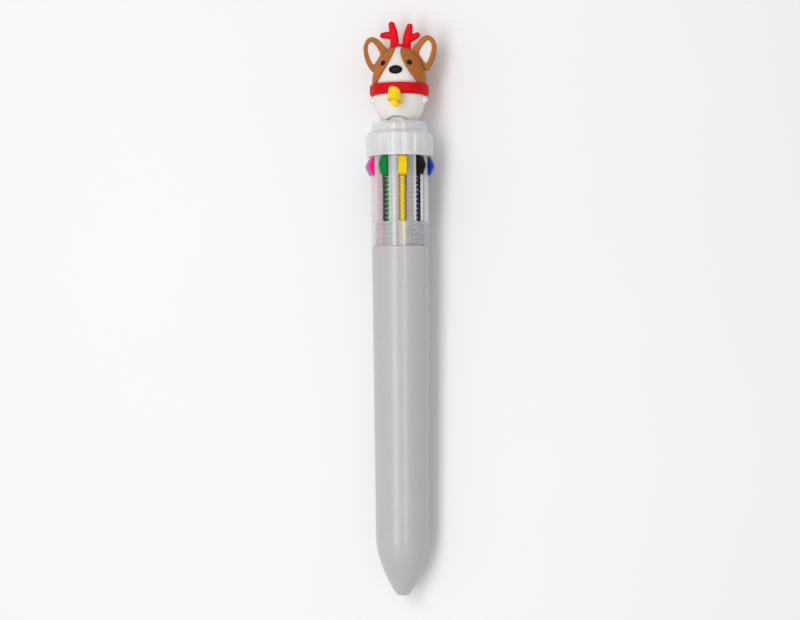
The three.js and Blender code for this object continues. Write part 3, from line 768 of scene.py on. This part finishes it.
def nib():
    """Ball, cone, collar and shank of a writing point, leaning as the tube does."""
    ball = [(0, 0), (0.16, 0.05), (0.26, 0.15), (0.3, 0.3), (0.29, 0.42), (0.36, 0.5), (0.42, 0.62)]
    cone = [(0.58, 2.1), (0.66, 2.25), (0.96, 4.3), (1.0, 4.5), (1.0, 6.2)]
    groove = [(0.94, 6.28), (0.94, 6.6), (1.0, 6.68), (1.0, 8.3)]
    shank = [(0.95, 8.4), (0.72, 8.4), (0.72, 10.9), (0, 10.9)]
    obj = lathe("nib", ball + cone + groove + shank, 32)
    lean = Matrix.Rotation(REFILL_LEAN, 4, "X")
    obj.data.transform(Matrix.Translation((0, -TIP_RADIUS, REFILL_TIP)) @ lean)
    return obj


def colour_lines():
    """Ten lines round the pen, each a button, a spring, an ink tube and a writing point."""
    button, spring, tube, point = push_button(), compression_spring(), refill_tube(), nib()
    for i, colour in enumerate(COLOURS):
        angle = FIRST_LINE + i * LINE_PITCH
        pusher, refill, slot = "pusher_" + colour, "refill_" + colour, "ink_" + colour

        obj = turned_copy(button, angle)
        place(obj, "push_button_" + colour, INK[colour], pusher, ["button_" + colour], sharp=40)

        obj = turned_copy(spring, angle)
        name, stands_for = "coil_spring_" + colour, ["spring_" + colour]
        place(obj, name, SPRING_STEEL, "pen_body", stands_for, sharp=60)
        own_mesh(obj)

        obj = turned_copy(tube, angle)
        place(obj, "ink_tube_" + colour, INK[colour], None, ["refill_tube_" + colour], sharp=50)
        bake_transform(obj)

        obj = turned_copy(point, angle)
        place(obj, "writing_point_" + colour, NIB_METAL, refill, ["nib_" + colour], sharp=30)
    for obj in (button, spring, tube, point):
        bpy.data.objects.remove(obj)


# ---------------------------------------------------------------- dog figure

HEAD_LOW = 152.85
HEAD_WIDEST = 153.5
HEAD_RADIUS = 8.15
HEAD_HEIGHT = 11.0
HEAD_ROUND = 0.56
PATCH_THICK = 0.65
PATCH_LOW = 152.9
PATCH_HIGH = 163.8
PATCH_BACK = math.radians(179.75)
BLAZE_TOP = 163.0


def head_radius(z):
    """The head's outside, over its patches."""
    rise = max(0.0, z - HEAD_WIDEST) / HEAD_HEIGHT
    return HEAD_RADIUS * max(0.0, 1 - rise * rise) ** HEAD_ROUND


def head_form(name, grown, sides=128, steps=40):
    """The head's outside, grown or shrunk by a distance."""
    side = []
    for i in range(steps):
        z = HEAD_WIDEST + HEAD_HEIGHT * math.sin(i / steps * math.pi / 2)
        side.append((max(0.15, head_radius(z) + grown), z))
    top = (0, HEAD_WIDEST + HEAD_HEIGHT + min(grown, 0))
    reach = HEAD_RADIUS + grown
    foot = [(0, HEAD_LOW), (7.0, HEAD_LOW), (reach - 0.35, HEAD_LOW), (reach - 0.05, HEAD_LOW + 0.3)]
    return lathe(name, foot + side + [top], sides)


def cut_by_head(obj, grown):
    """Takes the head, grown or shrunk by a distance, out of a piece that stands on it."""
    return boolean(obj, [head_form("cut", grown, 96, 30)], "DIFFERENCE")


def blaze_edge(z):
    """The angle from the front to the edge of the white blaze, which widens towards the collar."""
    below = min(1.0, max(0.0, (BLAZE_TOP - z) / (BLAZE_TOP - PATCH_LOW)))
    half = 1.0 + 5.65 * below**1.55
    return math.asin(min(0.9, half / head_radius(z)))


def face_patch(side):
    """Raised brown shell over one side of the head, with soft edges."""
    rows, columns = 40, 56

    def grid(offset):
        out = []
        for i in range(rows + 1):
            z = PATCH_LOW + (PATCH_HIGH - PATCH_LOW) * i / rows
            start = blaze_edge(z)
            for j in range(columns + 1):
                angle = start + (PATCH_BACK - start) * j / columns
                out.append(around(side * angle, head_radius(z) + offset, z))
        return out

    points = grid(0.0) + grid(-PATCH_THICK + 0.02)
    width, half = columns + 1, (rows + 1) * (columns + 1)
    faces = []
    for i in range(rows):
        for j in range(columns):
            a = i * width + j
            faces.append((a, a + 1, a + 1 + width, a + width))
            faces.append((half + a, half + a + width, half + a + 1 + width, half + a + 1))
        for j in (0, columns):
            a = i * width + j
            faces.append((a, a + width, half + a + width, half + a))
    for i in (0, rows):
        for j in range(columns):
            a = i * width + j
            faces.append((a, a + 1, half + a + 1, half + a))
    obj = recalc(mesh_object("patch", points, faces))
    return bevel(obj, 0.28, 5, 50)


def torso():
    """Bowl-shaped body with a socket for the peg, an arch through its foot, and two small paws."""
    profile = rounded(
        [
            (0, 150.2),
            (1.75, 150.2),
            (1.75, 143.05),
            (4.4, 143.05),
            (4.4, 141.75),
            (5.0, 141.75),
            (5.7, 142.6),
            (6.3, 143.5),
            (7.05, 145.0),
            (7.65, 147.0),
            (7.95, 149.2),
            (7.85, 149.48),
            (7.55, 149.5),
            (7.55, 152.8),
            (0, 152.8),
        ],
        {4: 0.05, 5: 0.4, 6: 3, 7: 6, 8: 8, 9: 10, 10: 0.5, 11: 0.2, 12: 0.1, 13: 0.15},
        5,
    )
    body = lathe("torso", profile, 128)
    arch = lathe("arch", [(0, -10), (3.4, -10), (3.4, 10), (0, 10)], 64)
    arch.data.transform(Matrix.Rotation(math.radians(90), 4, "X"))
    arch.data.transform(Matrix.Translation((0, 0, 141.75)) @ Matrix.Diagonal((1, 1, 0.4, 1)))
    paws = []
    for side in (-1, 1):
        path = [(side * 7.1, -1.2, 148.3), (side * 7.35, -1.3, 148.25), (side * 7.6, -1.4, 148.2)]
        paws.append(sweep_tube("paw", path, [1.15, 1.28, 1.22], 24))
    boolean(body, paws, "UNION")
    boolean(body, [arch], "DIFFERENCE")
    return bevel(body, 0.15, 3, 40)


def collar():
    """Band with round edges between the torso and the head."""
    corners = [(7.65, 151.2), (7.65, 149.55), (8.9, 149.55), (8.9, 152.75), (7.65, 152.75), (7.65, 151.2)]
    profile = rounded(corners, {1: 0.1, 2: 0.7, 3: 0.7, 4: 0.1}, 8)[:-1]
    return lathe("collar", profile, 144, closed=True)


EAR_OUTLINE = [
    (3.6, 163.5), (5.1, 165.4), (6.7, 167.0), (8.4, 167.55), (10.0, 166.7), (10.85, 164.8),
    (10.85, 162.8), (10.3, 160.4), (9.2, 158.2), (7.8, 157.0), (5.5, 158.5), (4.0, 161.0),
]
LINING_OUTLINE = [
    (8.45, 166.1), (9.5, 165.1), (9.65, 163.4), (9.0, 161.0),
    (7.85, 159.15), (6.5, 160.7), (5.7, 162.4), (7.0, 164.8),
]
EAR_FRONT = -0.3
EAR_BACK = 2.1
EAR_RECESS = 0.9
EAR_FLOOR = EAR_FRONT + EAR_RECESS
EAR_SHIFT = {-1: 0.0, 1: 0.25}


def ear_loop(outline, side, grown=0.0):
    """A smooth outline for one side of the head, grown away from its middle."""
    mx = sum(p[0] for p in outline) / len(outline)
    mz = sum(p[1] for p in outline) / len(outline)
    out = []
    for x, z in outline:
        reach = math.hypot(x - mx, z - mz)
        k = (reach + grown) / reach
        out.append((side * (mx + (x - mx) * k), mz + (z - mz) * k))
    return smooth_loop(out, 6)


def ear(side):
    """Soft-edged ear with a hollow for its lining."""
    body = prism("ear", ear_loop(EAR_OUTLINE, side), EAR_FRONT, EAR_BACK)
    bevel(body, 0.62, 5, 40)
    hollow = prism("hollow", ear_loop(LINING_OUTLINE, side, 0.06), EAR_FRONT - 1, EAR_FLOOR)
    boolean(body, [hollow], "DIFFERENCE")
    body.data.transform(Matrix.Translation((EAR_SHIFT[side], 0, 0)))
    cut_by_head(body, 0.03)
    return bevel(body, 0.08, 2, 45)


def ear_lining(side):
    """White pad on the floor of the ear's hollow."""
    obj = prism("lining", ear_loop(LINING_OUTLINE, side), EAR_FLOOR - 0.5, EAR_FLOOR - 0.02)
    bevel(obj, 0.15, 3, 40)
    obj.data.transform(Matrix.Translation((EAR_SHIFT[side], 0, 0)))
    return cut_by_head(obj, 0.05)


def face_dome(angle, z, size, sunk):
    """A smooth domed button on the face, such as an eye."""
    bpy.ops.mesh.primitive_uv_sphere_add(segments=40, ring_count=24, radius=1)
    obj = bpy.context.active_object
    centre = Matrix.Translation(around(angle, head_radius(z) - sunk, z))
    tilt = Matrix.Rotation(math.radians(-10), 4, "X")
    obj.data.transform(centre @ Matrix.Rotation(angle, 4, "Z") @ tilt @ Matrix.Diagonal((*size, 1)))
    return cut_by_head(obj, 0.02 - sunk)


# Each limb is a path and the tube's radii, spread evenly along it.
BEAM_RADII = (1.38, 1.32, 1.28, 1.22, 0.98)
TINE_RADII = (1.18, 1.13, 0.9)
BAND_RADII = (0.95,) * 5
LEFT_BEAM = [
    (-1.86, 1.7, 163.6), (-1.7, 2.1, 166), (-1.86, 2.2, 168), (-2.18, 2.25, 169.7), (-2.6, 2.3, 171.4),
]
LEFT_TINE = [(-1.9, 2.2, 167.9), (-3.9, 2.2, 168.2), (-5.3, 2.2, 168.2)]
RIGHT_BEAM = [
    (2.05, 1.7, 163.6), (2.01, 2.1, 165.6), (2.16, 2.2, 167.4), (2.59, 2.25, 169.1), (2.92, 2.3, 170.65),
]
RIGHT_TINE = [(2.3, 2.2, 166.7), (3.6, 2.2, 167.2), (5.2, 2.2, 168)]
BAND = [
    (-2.6, 0.9, 163.5), (-1.4, 0.35, 164.15), (0, 0.15, 164.35), (1.4, 0.35, 164.15), (2.6, 0.9, 163.5),
]
ANTLER_LIMBS = (
    (LEFT_BEAM, BEAM_RADII),
    (LEFT_TINE, TINE_RADII),
    (RIGHT_BEAM, BEAM_RADII),
    (RIGHT_TINE, TINE_RADII),
    (BAND, BAND_RADII),
)


def smooth_path(points, steps):
    """Catmull-Rom points along an open path."""
    points = [Vector(p) for p in points]
    padded = [2 * points[0] - points[1]] + points + [2 * points[-1] - points[-2]]
    out = []
    for p0, p1, p2, p3 in zip(padded, padded[1:], padded[2:], padded[3:]):
        for k in range(steps):
            out.append(spline_point(p0, p1, p2, p3, k / steps))
    return out + [points[-1]]


def value_along(values, share):
    """A value between two of a row of values, at a share of the way along the row."""
    last = len(values) - 1
    along = share * last
    k = min(int(along), last - 1)
    return values[k] + (values[k + 1] - values[k]) * (along - k)


def antler_band():
    """Two antlers of a beam and a tine each, on a band over the top of the head."""
    limbs = []
    for path, radii in ANTLER_LIMBS:
        route = smooth_path(path, 5)
        last = len(route) - 1
        limbs.append(sweep_tube("limb", route, [value_along(radii, i / last) for i in range(last + 1)], 32))
    return cut_by_head(remesh(join(limbs), 0.11, 6), 0.04)


BELL_HEIGHT = 149.0


def bell():
    """Bell with a flared mouth that slants down towards +x, and a round clapper."""
    skirt = [(0, 2.2), (1.4, 1.95), (1.85, 0.6), (2.0, -0.8), (2.35, -1.95)]
    outside = rounded(skirt, {1: 1.0, 2: 2.0, 3: 1.5}, 8)
    inside = rounded([(2.0, -2.1), (1.6, -1.75), (1.05, -1.7)], {1: 0.2}, 5)
    clapper = [(1.1, -2.2), (1.2, -2.75), (1.18, -3.2), (1.0, -3.62), (0.62, -3.92), (0, -4.03)]
    profile = outside + [(2.35, -2.1), (2.28, -2.18), (2.1, -2.2)] + inside + clapper
    obj = lathe("bell", profile, 72)
    slant = Matrix.Identity(4)
    slant[2][0] = -0.25
    turn = Matrix.Rotation(math.radians(0.8), 4, "Z") @ Matrix.Translation((0, -9.9, BELL_HEIGHT))
    turn = turn @ Matrix.Rotation(math.radians(-4), 4, "Y") @ Matrix.Rotation(math.radians(-14), 4, "X")
    obj.data.transform(turn @ slant)
    chest = lathe("chest", [(0, 140), (8.02, 140), (8.02, 151), (0, 151)], 96)
    band = lathe("band", [(0, 149.5), (8.93, 149.5), (8.93, 153), (0, 153)], 96)
    return boolean(obj, [chest, band], "DIFFERENCE")


EYE_ANGLE = math.radians(34)
EYE_HEIGHT = 158.7
EYE_SIZE = (0.9, 0.45, 0.85)
NOSE_HEIGHT = 156.55
NOSE_SIZE = (2.03, 1.15, 1.33)


def dog_figure():
    """Every piece of the figure, riding on its body."""

    def add(obj, name, material, nodes, sharp=40):
        place(obj, name, material, "figure", nodes, sharp, FIGURE_TURN)

    add(torso(), "dog_torso", FIGURE_WHITE, ["figure_torso"])
    add(head_form("head", -PATCH_THICK), "dog_head", FIGURE_WHITE, ["figure_head"])
    # the collar takes the darker red, which is painted shade
    add(collar(), "dog_collar", COLLAR_RED_SHADED, ["figure_collar"])
    add(bell(), "dog_bell", FIGURE_GOLD, ["figure_bell"])
    add(antler_band(), "dog_antlers", FIGURE_RED, ["figure_antler_band"], 60)
    nose = face_dome(0, NOSE_HEIGHT, NOSE_SIZE, PATCH_THICK)
    add(nose, "dog_nose", FIGURE_BLACK, ["figure_nose"])
    for side, word in ((-1, "left"), (1, "right")):
        add(face_patch(side), "dog_patch_" + word, FIGURE_BROWN, ["figure_patch_" + word])
        add(ear(side), "dog_ear_" + word, FIGURE_BROWN, ["figure_ear_" + word])
        lining, node = "dog_ear_lining_" + word, "figure_ear_lining_" + word
        add(ear_lining(side), lining, FIGURE_WHITE, [node])
        eye = face_dome(side * EYE_ANGLE, EYE_HEIGHT, EYE_SIZE, 0)
        add(eye, "dog_eye_" + word, FIGURE_BLACK, ["figure_eye_" + word])


# ---------------------------------------------------------------- stage, lights and camera

VIEW_TURN = math.radians(13)
VIEW_DISTANCE = 525.0
VIEW_HEIGHT = 85.35
VIEW_ROLL = math.radians(0.42)
VIEW_ASIDE = -0.3
SENSOR = 36.0
VIEW_WIDTH = 240.0  # what the picture shows across, at the pen's axis
LIGHT_HEIGHT = 90.0
LIGHT_LENGTH = 620.0
WORLD_STRENGTH = 0.62


def looking_in(angle):
    """The right, up and back of a view towards the pen's axis, in the pen's frame, and its rotation."""
    back = around(angle, 1, 0)
    up = Vector((0, 0, 1))
    right = up.cross(back)
    return right, up, back, PEN_TURN @ Matrix((right, up, back)).transposed().to_4x4()


def add_camera():
    """A long lens from the front of the pen, turned a little round its axis."""
    data = bpy.data.cameras.new("camera")
    data.sensor_width = SENSOR
    data.lens = VIEW_DISTANCE * SENSOR / VIEW_WIDTH
    data.clip_start = 0.01
    data.clip_end = 20
    camera = bpy.data.objects.new("camera", data)
    bpy.context.scene.collection.objects.link(camera)
    right, up, back, look = looking_in(VIEW_TURN)
    spot = PEN @ (right * VIEW_ASIDE + up * VIEW_HEIGHT + back * VIEW_DISTANCE)
    camera.matrix_world = Matrix.Translation(spot) @ look @ Matrix.Rotation(-VIEW_ROLL, 4, "Z")
    bpy.context.scene.camera = camera


def add_light(name, angle, distance, width, power, color=(1, 1, 1), gloss_only=False):
    """A strip softbox along the pen, at an angle round its axis from the camera's side."""
    data = bpy.data.lights.new(name, "AREA")
    data.shape = "RECTANGLE"
    data.size = width * MM
    data.size_y = LIGHT_LENGTH * MM
    data.energy = power
    data.color = color
    light = bpy.data.objects.new(name, data)
    light.visible_diffuse = not gloss_only
    bpy.context.scene.collection.objects.link(light)
    _, up, back, look = looking_in(VIEW_TURN + math.radians(angle))
    light.matrix_world = Matrix.Translation(PEN @ (back * distance + up * LIGHT_HEIGHT)) @ look


def stage():
    """A pale floor, an even white surround and the lights."""
    bpy.ops.mesh.primitive_plane_add(size=6)
    floor = bpy.context.active_object
    floor.name = "floor"
    n = Nodes("floor_paint")
    n.mottled((0.9, 0.9, 0.9), n.noise(6, 3), 0.01)
    n.shader.inputs["Roughness"].default_value = 0.9
    n.shader.inputs["Specular IOR Level"].default_value = 0.1
    floor.data.materials.append(n.material)
    world = bpy.data.worlds.new("studio")
    world.use_nodes = True
    background = world.node_tree.nodes["Background"]
    background.inputs["Color"].default_value = (1, 1, 1, 1)
    background.inputs["Strength"].default_value = WORLD_STRENGTH
    bpy.context.scene.world = world
    bpy.context.scene.view_settings.view_transform = "Standard"
    add_light("key", -26, 500, 160, 1.4)
    add_light("left_strip", -24, 520, 22, 0.15, (1, 0.94, 0.88), gloss_only=True)
    add_light("right_strip", 15, 520, 22, 1.0, (1, 0.92, 0.84), gloss_only=True)


add_camera()
root_pieces()
colour_lines()
dog_figure()
stage()
